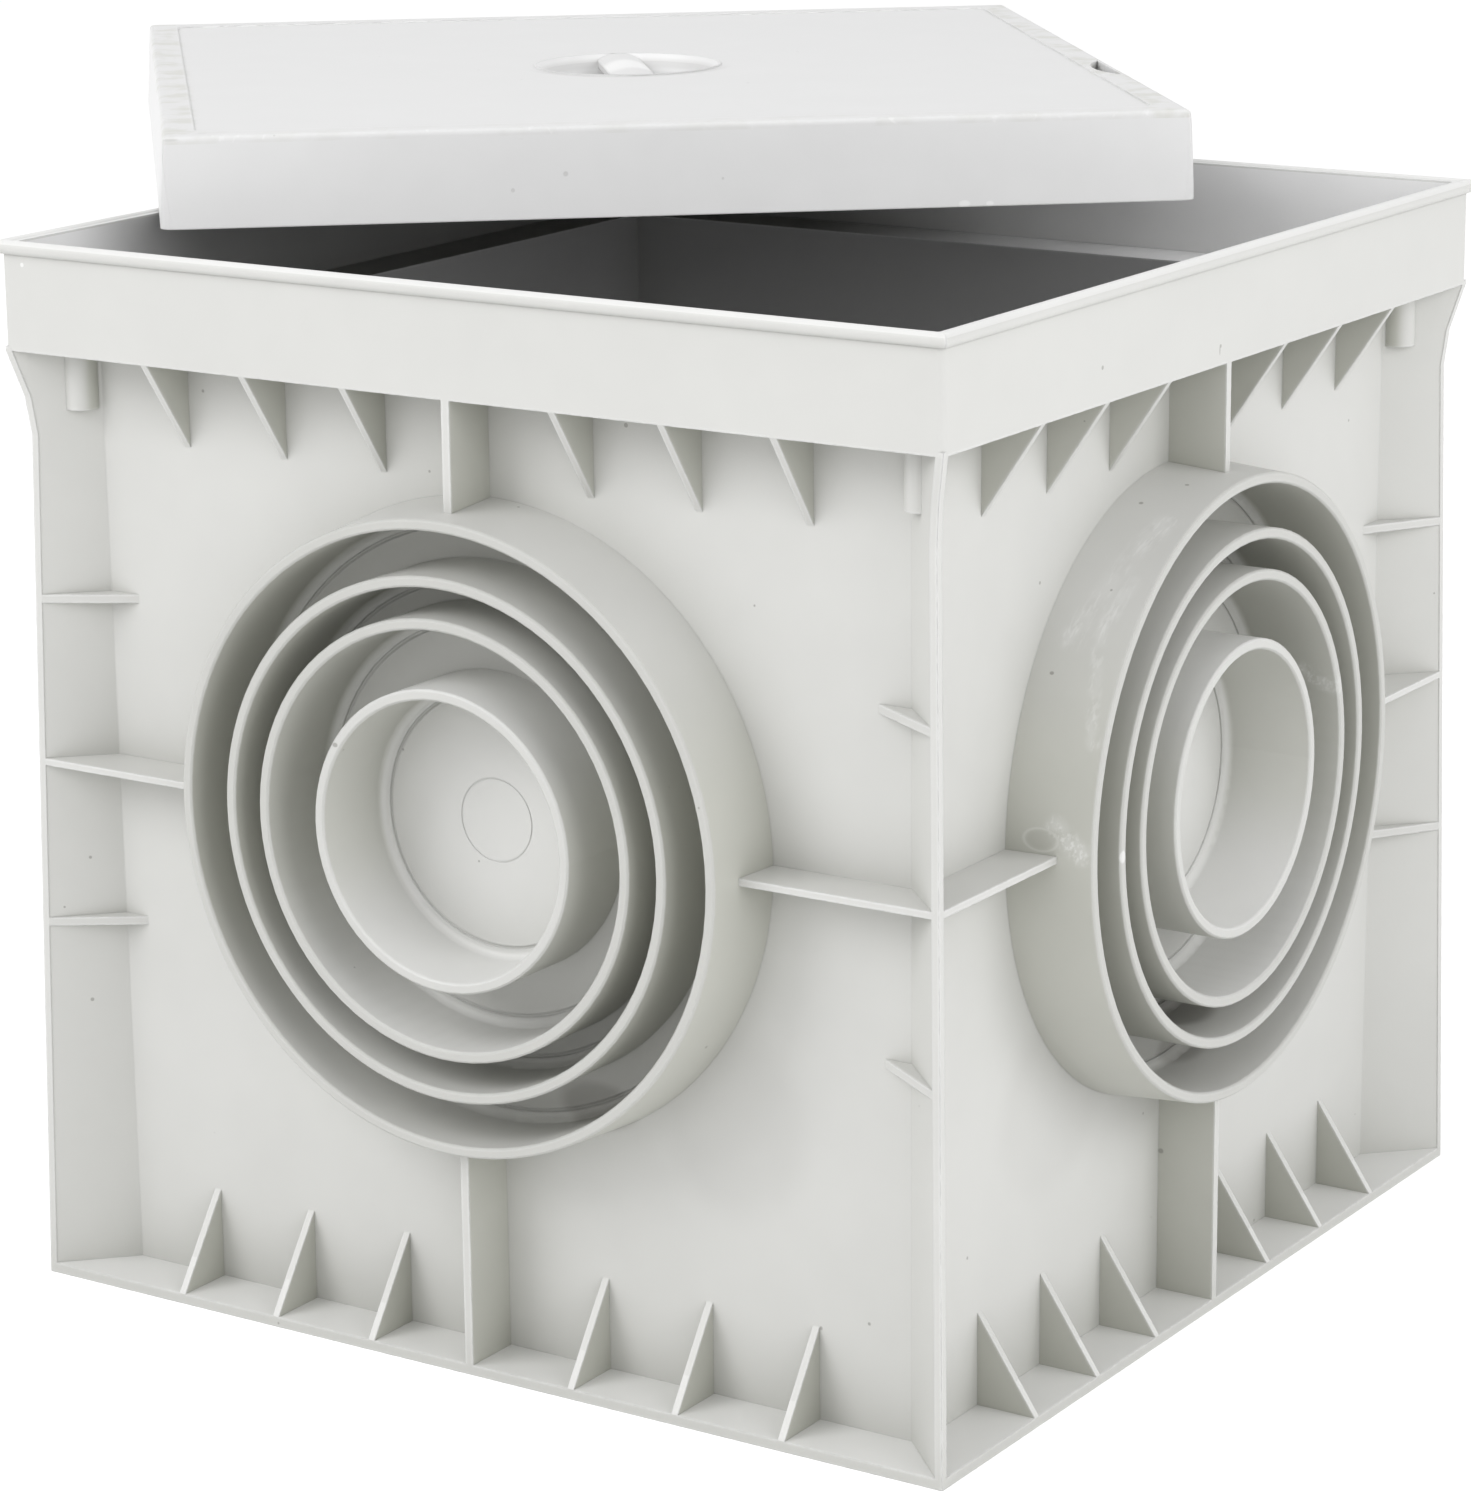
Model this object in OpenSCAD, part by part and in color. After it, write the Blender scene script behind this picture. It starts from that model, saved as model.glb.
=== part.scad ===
// Drain inspection chamber: a square moulded box with knock-out pipe rings on
// all four sides, and its loose lid, lying turned across the rim.
// Millimetres, Z up, origin under the middle of the foot. Each of the four
// sides is the same, so one side is drawn on -Y and turned round.

/* [Foot and walls] */
// width of the square foot flange
base_w = 198; // [170:1:240]
// thickness of the foot flange and of the floor
base_t = 2; // [1.5:0.1:4]
// rounding of the foot flange's corners
foot_r = 1; // [0.4:0.1:4]
// height from the ground to the top of the rim bead
total_h = 198.6; // [170:0.2:300]
// width over the main walls at the ground
body_w = 174.6; // [150:0.1:200]
// draft of the main walls, in degrees
wall_draft = 0.1; // [0:0.05:1]
// thickness of the main walls
wall_t = 2.3; // [1.5:0.1:3.5]

/* [Corner fins and posts] */
// thickness of the diagonal corner fins
fin_t = 1.9; // [1:0.1:3.5]
// width of each flat of the corner posts
post_w = 1.5; // [1.4:0.1:5]
// lean of the posts, in degrees
post_draft = 1; // [0:0.1:2]
// height over which the posts flare out to the collar
flare_h = 15.7; // [8:0.1:30]
// diameter of the round bosses under the collar's corners
boss_d = 6.2; // [4:0.1:9]
// length of those bosses
boss_h = 11.3; // [4:0.1:24]
// distance of the bosses in from the collar's outer faces
boss_in = 9.5; // [6:0.1:12]

/* [Collar and rim] */
// width over the collar
collar_w = 198; // [175:1:242]
// height of the collar, from its underside to the top of the bead
collar_h = 20.3; // [14:0.1:40]
// thickness of the collar's wall
collar_t = 2.2; // [1.4:0.1:4]
// thickness of the ledge that carries the lid
ledge_t = 2; // [1.4:0.1:4]
// rounding of the collar's upright corners
collar_r = 1.2; // [0.8:0.1:5]
// diameter of the bead round the rim
bead_d = 2.6; // [1.4:0.1:5]
// how far the bead stands out past the collar
bead_out = 1.3; // [0.3:0.1:2]

/* [Knock-out rings] */
// height of the rings' centre
ring_z = 100.9; // [80:0.1:140]
// how far the rims stand out past the foot flange
ring_out = 5; // [2:0.1:14]
// outside diameter of the pipe that the largest ring takes
pipe1_d = 110; // [104:1:116]
// outside diameter of the second ring's pipe
pipe2_d = 90; // [86:1:96]
// outside diameter of the third ring's pipe
pipe3_d = 75; // [63:1:80]
// outside diameter of the smallest ring's pipe
pipe4_d = 50; // [32:1:58]
// play between a pipe and its ring, all round
pipe_gap = 0.4; // [0.1:0.1:1]
// thickness of the rings
ring_t = 2; // [1.2:0.1:3.5]
// how much the largest ring widens, on the radius, down to the wall
ring_flare = 1.2; // [0:0.1:3]
// chamfer on the rings' rims
rim_c = 0.35; // [0.1:0.05:0.6]
// depth of the knock-out floors below the wall's face
floor_in = 0.8; // [0.3:0.1:1.3]
// rounding at the inner foot of each ring
root_r = 1.5; // [0.5:0.1:2]
// width of the score lines in the floors
score_w = 0.6; // [0.3:0.1:1]
// depth of the score lines
score_d = 0.3; // [0.2:0.1:0.8]
// distance of each score line in from its ring
score_in = 2; // [0.6:0.1:4]
// diameter of the round mould mark in the middle of the floors
mark_d = 15.6; // [8:0.1:24]
// width and depth of that mark's line
mark_w = 0.3; // [0.1:0.05:0.5]
// depth of the mould mark's line
mark_in = 0.12; // [0.05:0.01:0.4]

/* [Ribs] */
// thickness of the upright centre ribs
centre_t = 1.7; // [1:0.1:3.5]
// thickness of the level ribs beside the rings
level_t = 1.3; // [0.8:0.1:3]
// thickness of the gussets
gusset_t = 1.4; // [0.7:0.1:2]
// spacing of the gussets
gusset_pitch = 22.2; // [16:0.1:25]
// height of the gussets under the collar
gusset_top_h = 16.7; // [7:0.1:21]
// height of the gussets on the foot flange
gusset_foot_h = 17.3; // [7:0.1:22]
// gussets on each side of the centre rib
gusset_n = 3; // [1:1:3]
// thickness of the small corner webs
web_t = 1.6; // [0.7:0.1:2]
// distance of the corner webs above and below the rings' centre
web_dz = 31; // [14:0.5:46]
// length of the corner webs along the wall
web_run = 17; // [11:0.5:26]

/* [Lid] */
// gap round the lid when it lies in the collar
lid_gap = 0.5; // [0.15:0.05:1.5]
// height of the lid
lid_h = 16.9; // [12:0.1:18]
// lean of the lid's skirt on each side
lid_draft = 1; // [0:0.1:2]
// thickness of the lid's plate
lid_t = 2; // [1.4:0.1:4]
// thickness of the lid's skirt
skirt_t = 2; // [1.2:0.1:3.5]
// rounding of the lid's upright corners
lid_r = 2.7; // [0.8:0.1:6]
// rounding of the lid's top edge
lid_edge = 0.9; // [0.3:0.1:1.6]
// ribs each way under the lid
lid_rib_n = 6; // [2:1:8]
// thickness of the lid's ribs
lid_rib_t = 1.4; // [0.8:0.1:3]
// width of the plain border round the lid's panel
border_w = 6; // [3:0.5:14]
// depth of the panel below the border
panel_in = 0.3; // [0.1:0.05:0.8]
// diameter of the hand dish in the lid
dish_d = 37; // [28:1:60]
// depth of the hand dish
dish_h = 11.5; // [7:0.5:12]
// thickness of the dish
dish_t = 1.8; // [1.2:0.1:3]
// width of the level band round the dish
dish_land = 0.5; // [0.3:0.1:4]
// width of the grab bar across the dish
bar_w = 8.7; // [6:0.1:14]
// thickness of the grab bar
bar_t = 2.6; // [1.8:0.1:3.4]
// length of the finger notch in the lid's edge
notch_l = 24; // [14:1:40]
// depth of the finger notch
notch_in = 3.4; // [2.6:0.1:6]
// height of the finger notch
notch_h = 8; // [4:0.5:12]
// wall left outside the finger notch
notch_wall = 1.4; // [1:0.1:3]
// place of the notch along the edge, from the middle
notch_y = -27.5; // [-60:1:60]

/* [Lid as it lies] */
// turn of the lid about the upright
lid_turn = 40.5; // [0:0.5:90]
// place of the lid's middle, across
lid_x = -68.7; // [-86:0.1:0]
// place of the lid's middle, back
lid_y = 58.3; // [0:0.1:86]
// clearance between the lid's skirt and the bead
lid_seat = 0.2; // [0.05:0.05:0.5]

/* [Hidden] */
$fn = 96;

ov = 0.8;                                 // how far joined pieces run into each other
big = 2 * (base_w + collar_w);
under = total_h - collar_h;               // underside of the collar
ledge_z = under + ledge_t;                // top of the ledge
ring_face = base_w / 2 + ring_out;        // plane of the rings' rims
bead_c = collar_w / 2 + bead_out - bead_d / 2;  // line of the bead's middle
land_z = total_h - bead_d / 6;            // top of the collar's wall inside the bead
ring_d = [for (p = [pipe1_d, pipe2_d, pipe3_d, pipe4_d]) p + 2 * (pipe_gap + ring_t)];
lid_w = collar_w - 2 * collar_t - 2 * lid_gap;
dish_rad = (pow(dish_d / 2, 2) + pow(dish_h, 2)) / (2 * dish_h);
notch_rad = (pow(notch_l / 2, 2) + pow(notch_in, 2)) / (2 * notch_in);
boss_c = collar_w / 2 - boss_in;

function wall_at(z) = body_w / 2 + z * tan(wall_draft);
function post_at(z) = base_w / 2 - z * tan(post_draft);
floor_face = wall_at(ring_z) - floor_in;  // outer face of the knock-out floors

module sides() for (a = [0:90:270]) rotate([0, 0, a]) children();

// a square with round corners, from true circles
module round_square(w, r) {
    square([w - 2 * r, w], center = true);
    square([w, w - 2 * r], center = true);
    for (x = [-1, 1], y = [-1, 1]) translate([x, y] * (w / 2 - r)) circle(r);
}

// a square block whose four sides follow one half profile, [half width, height]
module square_of(half) {
    pts = concat(half, [for (i = [len(half) - 1:-1:0]) [-half[i][0], half[i][1]]]);
    intersection() {
        for_side(0) polygon(pts);
        for_side(90) polygon(pts);
    }
}
module for_side(a) rotate([0, 0, a]) rotate([90, 0, 0])
    linear_extrude(big, center = true) children();

// a plate that stands on the -Y side: its profile in [out from the middle, up]
module side_plate(t, x, pts) translate([x + t / 2, 0, 0]) rotate([90, 0, -90])
    linear_extrude(t) polygon(pts);

// ---------------------------------------------------------------- chamber

module post_band() {
    half = [[base_w / 2, 0], [post_at(under - flare_h), under - flare_h],
            [post_at(under - flare_h) + 0.25 * (collar_w / 2 - post_at(under - flare_h)),
             under - flare_h * 0.55],
            [collar_w / 2, under], [collar_w / 2, under + ov]];
    for (s = [-1, 1]) polygon(concat(
        [for (p = half) [s * p[0], p[1]]],
        [for (i = [len(half) - 1:-1:0]) [s * (half[i][0] - post_w), half[i][1]]]));
}

module posts() {
    intersection() {
        for_side(0) post_band();
        for_side(90) post_band();
    }
}

module fins() {
    reach = base_w / 2 - post_w / 2;
    inner = body_w / 2 - wall_t;
    flare = [[inner, 0], [reach, 0],
             [post_at(under - flare_h) - post_w / 2, under - flare_h],
             [post_at(under - flare_h) + 0.25 * (collar_w / 2 - post_at(under - flare_h))
              - post_w / 2, under - flare_h * 0.55],
             [collar_w / 2 - post_w / 2, under], [collar_w / 2 - post_w / 2, under + ov],
             [inner, under + ov]];
    sides() rotate([0, 0, 45]) rotate([90, 0, 0]) translate([0, 0, -fin_t / 2])
        linear_extrude(fin_t) polygon([for (p = flare) [p[0] * sqrt(2), p[1]]]);
}

module gussets() {
    for (s = [-1, 1], i = [1:gusset_n]) {
        side_plate(gusset_t, s * i * gusset_pitch,
            [[wall_at(under - gusset_top_h) - ov, under - gusset_top_h],
             [wall_at(under - gusset_top_h), under - gusset_top_h],
             [collar_w / 2, under], [collar_w / 2, under + ov],
             [wall_at(under) - ov, under + ov]]);
        side_plate(gusset_t, s * i * gusset_pitch,
            [[wall_at(gusset_foot_h) - ov, base_t - ov], [base_w / 2, base_t - ov],
             [base_w / 2, base_t], [wall_at(base_t + gusset_foot_h), base_t + gusset_foot_h],
             [wall_at(gusset_foot_h) - ov, base_t + gusset_foot_h]]);
    }
}

module centre_ribs() {
    top = ring_z + ring_d[0] / 2 - ring_t / 2;
    low = ring_z - ring_d[0] / 2 + ring_t / 2;
    side_plate(centre_t, 0, [[wall_at(top) - ov, top], [collar_w / 2, top],
        [collar_w / 2, under + ov], [wall_at(under) - ov, under + ov]]);
    side_plate(centre_t, 0, [[wall_at(0) - ov, base_t - ov], [base_w / 2, base_t - ov],
        [base_w / 2, low], [wall_at(0) - ov, low]]);
}

module level_ribs() {
    out = post_at(ring_z);
    for (s = [-1, 1]) mirror([s < 0 ? 1 : 0, 0, 0])
        translate([0, 0, ring_z - level_t / 2]) linear_extrude(level_t) polygon([
            [ring_d[0] / 2 - ring_t / 2, -out], [out - post_w / 2, -out],
            [out - post_w / 2, -(out - post_w / 2)],
            [wall_at(ring_z) - ov, -(wall_at(ring_z) - ov)],
            [ring_d[0] / 2 - ring_t / 2, -(wall_at(ring_z) - ov)]]);
    for (s = [-1, 1], k = [-1, 1]) let (z = ring_z + k * web_dz, o = post_at(z), w = wall_at(z))
        mirror([s < 0 ? 1 : 0, 0, 0]) translate([0, 0, z - web_t / 2]) linear_extrude(web_t)
            polygon([[o - web_run, -(w - ov)], [o - web_run, -w], [o - post_w, -o],
                     [o - post_w / 2, -(o - post_w / 2)], [w - ov, -(w - ov)]]);
}

// one ring, turned from its section: [radius, out from the middle]
module ring(d, flare) {
    r = d / 2;
    rotate([90, 0, 0]) rotate_extrude() {
        polygon([
            [r - ring_t, floor_face - ov], [r + flare, floor_face - ov],
            [r + flare, wall_at(ring_z)], [r, ring_face - rim_c], [r - rim_c, ring_face],
            [r - ring_t + rim_c, ring_face], [r - ring_t, ring_face - rim_c]]);
        translate([r - ring_t - root_r, floor_face - ov]) difference() {
            square([root_r + ring_t / 2, ov + root_r]);
            translate([0, ov + root_r]) circle(root_r);
        }
    }
}

module rings() translate([0, 0, ring_z]) {
    ring(ring_d[0], ring_flare);
    for (i = [1:3]) ring(ring_d[i], 0);
}

module knock_out_cuts() translate([0, 0, ring_z]) rotate([90, 0, 0])
    translate([0, 0, floor_face]) cylinder(h = 3 * ov + floor_in, r = ring_d[0] / 2 - ring_t / 2);

module score_cuts() translate([0, 0, ring_z]) rotate([90, 0, 0]) rotate_extrude() {
    for (d = ring_d)
        translate([d / 2 - ring_t - score_in - score_w / 2, floor_face - score_d])
            square([score_w, score_d + ov]);
    translate([mark_d / 2 - mark_w, floor_face - mark_in]) square([mark_w, mark_in + ov]);
}

// the bead's section at both ends of one direction
module bead_ends() for (s = [-1, 1]) translate([s * bead_c, total_h - bead_d / 2]) circle(d = bead_d);

module rim_profile() {
    translate([-bead_c, total_h - bead_d]) square([2 * bead_c, bead_d]);
    bead_ends();
}

// room above the land, inside the bead
module land_profile() difference() {
    translate([-bead_c, land_z]) square([2 * bead_c, bead_d]);
    bead_ends();
}

module rim_bead() difference() {
    intersection() {
        for_side(0) rim_profile();
        for_side(90) rim_profile();
    }
    intersection() {
        for_side(0) land_profile();
        for_side(90) land_profile();
    }
}

module shell() {
    square_of([[wall_at(0), 0], [wall_at(under + ov), under + ov]]);
    linear_extrude(base_t) round_square(base_w, foot_r);
    translate([0, 0, under]) linear_extrude(land_z - under) round_square(collar_w, collar_r);
}

module inside() {
    square_of([[wall_at(base_t) - wall_t, base_t], [wall_at(ledge_z + ov) - wall_t, ledge_z + ov]]);
    translate([0, 0, ledge_z]) linear_extrude(total_h)
        round_square(collar_w - 2 * collar_t, collar_r / 2);
}

module chamber() color([0.86, 0.86, 0.84]) difference() {
    union() {
        difference() {
            shell();
            sides() knock_out_cuts();
        }
        posts();
        fins();
        sides() {
            gussets();
            centre_ribs();
            level_ribs();
            rings();
        }
        for (x = [-1, 1], y = [-1, 1]) translate([x * boss_c, y * boss_c, under - boss_h])
            cylinder(h = boss_h + ov, d = boss_d);
        rim_bead();
    }
    inside();
    sides() score_cuts();
}

// -------------------------------------------------------------------- lid

module lid_form() {
    top = lid_w / 2 - lid_draft;
    intersection() {
        square_of(concat([[lid_w / 2, 0]],
            [for (a = [0:30:90]) [top - lid_edge + lid_edge * cos(a),
                                  lid_h - lid_edge + lid_edge * sin(a)]]));
        linear_extrude(lid_h) round_square(lid_w, lid_r);
    }
}

module lid_hollow() {
    low = lid_w / 2 - skirt_t;
    square_of([[low, -ov], [low, 0], [low - lid_draft, lid_h - lid_t]]);
}

module lid_ribs() {
    n = lid_rib_n + 1;
    for (i = [1:lid_rib_n]) let (p = (i / n - 0.5) * (lid_w - skirt_t)) {
        translate([p - lid_rib_t / 2, -lid_w / 2 + skirt_t / 2, 0])
            cube([lid_rib_t, lid_w - skirt_t, lid_h - lid_t + ov]);
        translate([-lid_w / 2 + skirt_t / 2, p - lid_rib_t / 2, 0])
            cube([lid_w - skirt_t, lid_rib_t, lid_h - lid_t + ov]);
    }
}

module dish(r_more) translate([0, 0, lid_h - dish_h + dish_rad])
    sphere(dish_rad + r_more);

module grab_bar() {
    crown = bar_w;
    translate([0, dish_d / 2 + ov, 0]) rotate([90, 0, 0]) linear_extrude(dish_d + 2 * ov)
        intersection() {
            translate([0, lid_h - crown]) circle(crown);
            translate([-bar_w / 2, lid_h - bar_t]) square([bar_w, bar_t]);
        }
}

// a pocket with a bowed inner side, behind a thin outer wall
module finger_notch() {
    out = lid_w / 2 - lid_draft - notch_wall;
    translate([out, notch_y, lid_h - notch_h]) intersection() {
        translate([notch_rad - notch_in, 0, 0]) cylinder(h = notch_h + ov, r = notch_rad);
        translate([-2 * notch_in, -notch_l, 0]) cube([2 * notch_in, 2 * notch_l, notch_h + ov]);
    }
}

module lid_as_moulded() {
    inner = lid_w / 2 - lid_draft - border_w;
    difference() {
        lid_form();
        difference() {
            lid_hollow();
            lid_ribs();
            intersection() {
                dish(dish_t);
                translate([0, 0, lid_h - dish_h - 2 * dish_t])
                    cylinder(h = dish_h + dish_t, d = dish_d + 4 * dish_t);
            }
        }
        translate([0, 0, lid_h - panel_in]) linear_extrude(ov) difference() {
            round_square(2 * inner, lid_r);
            circle(d = dish_d + 2 * dish_land);
        }
        intersection() {
            dish(0);
            translate([0, 0, lid_h - dish_h - ov]) cylinder(h = 2 * dish_h, d = dish_d + 2);
        }
        finger_notch();
    }
    grab_bar();
}

module lid() color([0.92, 0.92, 0.92])
    translate([lid_x, lid_y, total_h + lid_seat]) rotate([0, 0, lid_turn]) lid_as_moulded();

chamber();
lid();
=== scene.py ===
"""Finish, light and camera for a moulded drain inspection chamber with its loose lid.

Lengths are in metres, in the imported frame's own axes. +Z is up, and the origin is under the
middle of the chamber's foot.
"""

import math

import bpy
from bpy.props import FloatProperty, FloatVectorProperty, PointerProperty
from mathutils import Matrix, Vector


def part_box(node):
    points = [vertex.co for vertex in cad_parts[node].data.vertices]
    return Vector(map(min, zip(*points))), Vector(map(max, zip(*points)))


bl_info = {
    "name": "Drain chamber finish",
    "version": (1, 0, 0),
    "blender": (4, 5, 0),
    "location": "View3D > Sidebar > Drain Chamber",
    "description": "Dresses a moulded drain inspection chamber and its lid, and sets its stage",
    "category": "Object",
}

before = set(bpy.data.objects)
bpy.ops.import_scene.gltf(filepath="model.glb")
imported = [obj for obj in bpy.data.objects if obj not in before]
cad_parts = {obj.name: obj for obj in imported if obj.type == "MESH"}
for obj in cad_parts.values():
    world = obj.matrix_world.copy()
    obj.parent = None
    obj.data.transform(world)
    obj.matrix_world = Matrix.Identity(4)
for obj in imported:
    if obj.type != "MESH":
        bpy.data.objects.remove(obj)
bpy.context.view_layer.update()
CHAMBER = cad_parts["chamber"]
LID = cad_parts["lid"]
MM = 0.001

# colours that the tones are mixed with
WHITE = (1.0, 1.0, 1.0, 1.0)
GAP_SHADE = (0.13, 0.135, 0.09, 1.0)
# olive grey of painted shade on the sides of rings, ribs and gussets
SIDE_SHADE_TONE = (0.40, 0.41, 0.30, 1.0)
# grit of specks and stains, and also the colour of painted shade in the dish and of painted shadows
GRIT_AND_SHADOW = (0.16, 0.15, 0.13, 1.0)
BORDER_TONE = (0.6, 0.6, 0.54, 1.0)

# heights on the chamber; a pair gives where a tone starts and where it is full
FLOOR_TOP = 1.5 * MM
FOOT_TOP = 8.0 * MM
FOOT_SHADE_HEIGHTS = (50 * MM, 12 * MM)
RING_HEIGHT = 100.9 * MM
COLLAR_FOOT = 178.0 * MM
LEDGE_LOW = 180.2 * MM
LEDGE_HIGH = 182.0 * MM
RECESS_TOP = 197.8 * MM
RIM_LOW = 197.9 * MM

# square distances from the upright through the chamber's middle: the larger of x and y
INNER_WALL = 86.3 * MM
RECESS_WALL = 97.5 * MM
RING_ENDS = 103.6 * MM

# distances from the level line that a side's rings stand round
RINGS_REACH = 58.0 * MM
CORE_EDGE = (38.3 * MM, 37.7 * MM)

# how far a face may look outwards or up before it is no longer a side, and when it is one fully
SIDE_TURN = (0.8, 0.2)

# how the lid lies: its middle, its turn about the upright, and its top
LID_PLACE = (-68.7 * MM, 58.3 * MM, 0.0)
LID_TURN = math.radians(40.5)
LID_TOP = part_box("lid")[1][2]

# where the lid keeps light off the recess, for its painted shadow: square distance from the lid's
# middle, and place along x
LID_SHADOW = (112 * MM, 84 * MM)
LID_SHADOW_SIDE = (0.0, -60 * MM)

# the lid's upper face: its skin, the borders that are rubbed, and the step down to the panel
TOP_SKIN = 1.5 * MM
SIDE_BORDERS = (86.5 * MM, 90.0 * MM)
WHOLE_BORDER = (87.5 * MM, 90.5 * MM)
STEP_REACH = 91.0 * MM
PATCH_SCALE, PATCH_RANGE = 130.0, (0.42, 0.68)
PATCHES_ON_SIDES, PATCHES_ELSEWHERE = 0.7, 0.3
FLECK_SCALE, FLECK_RANGE = 420.0, (0.6, 0.72)

# the hand dish, as distances from its middle and depths below the lid's top
DISH_WALL = 18.6 * MM
WALL_SHADE_DEPTH = 1.9 * MM
WALL_SHADE_FADE = (1.3 * MM, 0.4 * MM)
DISH_EDGE = 19.6 * MM
EDGE_FADE = (2.2 * MM, 0.4 * MM)
NEAR_HALF = (-2.0 * MM, -12.0 * MM)
BAR_HIGHLIGHT_REACH = (10.0 * MM, 4.0 * MM)
BAR_DEPTH = 1.5 * MM

# how strongly each tone is laid on the chamber
RING_END_SHADE = 0.2
CORE_LIGHT_UPWARD = 0.3
CORE_SHADE_DOWNWARD = 0.25
# painted light on the ledge
LEDGE_LIGHT = 0.9
LID_SHADOW_SHADE = 0.45
FAINT_SCUFF = 0.7
SINK_LINE = 0.3
SINK_SHADE = 0.26
WALL_SHADOW_SHADE = 0.12
GAP_SHADOW_SHADE = 0.7

# how strongly each tone is laid on the lid
DISH_WALL_SHADE = 0.15
DISH_EDGE_SHADE = 0.13
BAR_HIGHLIGHT = 0.7
BORDER_SHADE = 0.55
FLECK_LIFT = 0.5
STEP_LIGHT = 0.7
STROKE_SHADE = 0.4

# what both plastics share
HAZE_SIZE = 18 * MM
HAZE_TONE = 0.08
HAZE_ROUGHNESS = 0.2
SCUFF_ROUGHNESS = 0.3
CORNER_RELIEF = -0.8
DARK_AND_SHADOW_SHADE = 0.55
PLASTIC_IOR = 1.49

# the way the scuffs on the right side run
SCUFF_RUN = Vector((-0.1, -0.79, -0.6)).normalized()

# the lamps: name, power setting, width, place, and whether glossy faces mirror them
LAMPS = (
    ("Key", "key_power", 1.0, (-0.9, -1.2, 1.2), True),
    ("Front", "front_power", 1.0, (0.15, -1.7, 1.0), True),
    ("Fill", "fill_power", 1.0, (1.6, -0.4, 0.6), False),
    ("Back", "back_power", 0.7, (1.5, 0.4, 0.9), False),
)
LAMP_AIM = Vector((0.0, 0.0, 0.1))
FLOOR_WIDTH = 24.0
FLOOR_ROUGHNESS = 0.9
FLOOR_SHINE = 0.1


# ------------------------------------------------------------------ settings


def colour(name, about, default):
    """A colour setting."""
    return FloatVectorProperty(
        name=name, description=about, subtype="COLOR", size=3, min=0.0, max=1.0, default=default
    )


def length(name, about, default):
    """A length setting, in metres."""
    return FloatProperty(name=name, description=about, default=default, min=0.0, unit="LENGTH")


def share(name, about, default):
    """A setting from 0 to 1."""
    return FloatProperty(
        name=name, description=about, default=default, min=0.0, max=1.0, subtype="FACTOR"
    )


def power(name, about, default):
    """A lamp's power, in watts."""
    return FloatProperty(name=name, description=about, default=default, min=0.0, unit="POWER")


def angle(name, about, degrees):
    """An angle setting, with its default in degrees."""
    return FloatProperty(
        name=name, description=about, subtype="ANGLE", default=math.radians(degrees)
    )


class PlasticSettings(bpy.types.PropertyGroup):
    """Colours and surface of the two mouldings."""

    chamber_colour: colour(
        "Chamber colour", "Pale grey of the chamber's outside", (0.655, 0.655, 0.635)
    )
    # painted shade: the inside is the same plastic, given a darker grey for the shade it lies in
    inside_shade_colour: colour(
        "Inside colour", "Darker grey of the chamber's inside", (0.46, 0.46, 0.46)
    )
    # painted light: the collar's inside is the same plastic, given a paler grey where light reaches
    # it
    recess_lit_colour: colour(
        "Recess colour", "Grey of the ledge and the collar's inside", (0.86, 0.86, 0.86)
    )
    # painted shadow: grey of the recess where the lid's shadow falls
    lid_shadow_colour: colour(
        "Shelter colour", "Dull grey of the recess under the lid", (0.3, 0.3, 0.3)
    )
    lid_colour: colour("Lid colour", "Near white of the lid", (0.78, 0.78, 0.78))
    roughness: share("Roughness", "How matt the plastic is", 0.42)
    edge_radius: length("Edge radius", "Radius that softens every edge", 0.5 * MM)
    # painted highlight along convex edges: its width and how pale it is
    edge_width: length("Edge width", "Width of the rubbed band along an edge", 0.5 * MM)
    edge_highlight: share("Edge lift", "How much paler the rubbed edges are", 0.5)
    corner_reach: length("Corner reach", "Width of the darker band in corners and gaps", 16 * MM)
    corner_shade: share("Corner shade", "How much darker the chamber's corners and gaps are", 0.3)
    lid_shade: share("Lid shade", "How much darker the lid's corners and gaps are", 0.12)
    # painted shade on the faces that run out of the walls
    side_shade: share("Side shade", "How much duller the sides of rings and ribs are", 0.3)
    # painted light inside the smallest rings, more on faces that look up
    core_light: share("Core dust", "How much paler the inside of the smallest rings is", 0.14)
    # painted shade: darker towards the foot, on faces that do not look up
    foot_shade: share("Foot film", "How much soil dulls the walls near the foot", 0.05)
    # painted light on the foot's upper faces
    foot_light: share("Foot dust", "How much pale dust lies on the foot's upper faces", 0.3)
    # painted light on the top of the collar's rim
    rim_light: share("Rim wear", "How much paler the lid has rubbed the rim", 0.5)
    scuff_strength: share("Scuff strength", "How pale the scuffs are", 0.5)
    speck_radius: length("Speck radius", "Largest radius of the dark specks", 0.42 * MM)
    speck_spacing: length("Speck spacing", "Mean distance between specks in the plastic", 10 * MM)
    speck_tone: share("Speck tone", "How dark the chamber's specks are", 0.5)
    lid_speck_tone: share("Lid speck tone", "How dark the lid's specks are", 0.2)
    grain_depth: length("Grain depth", "Depth of the fine grain", 0.01 * MM)


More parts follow.
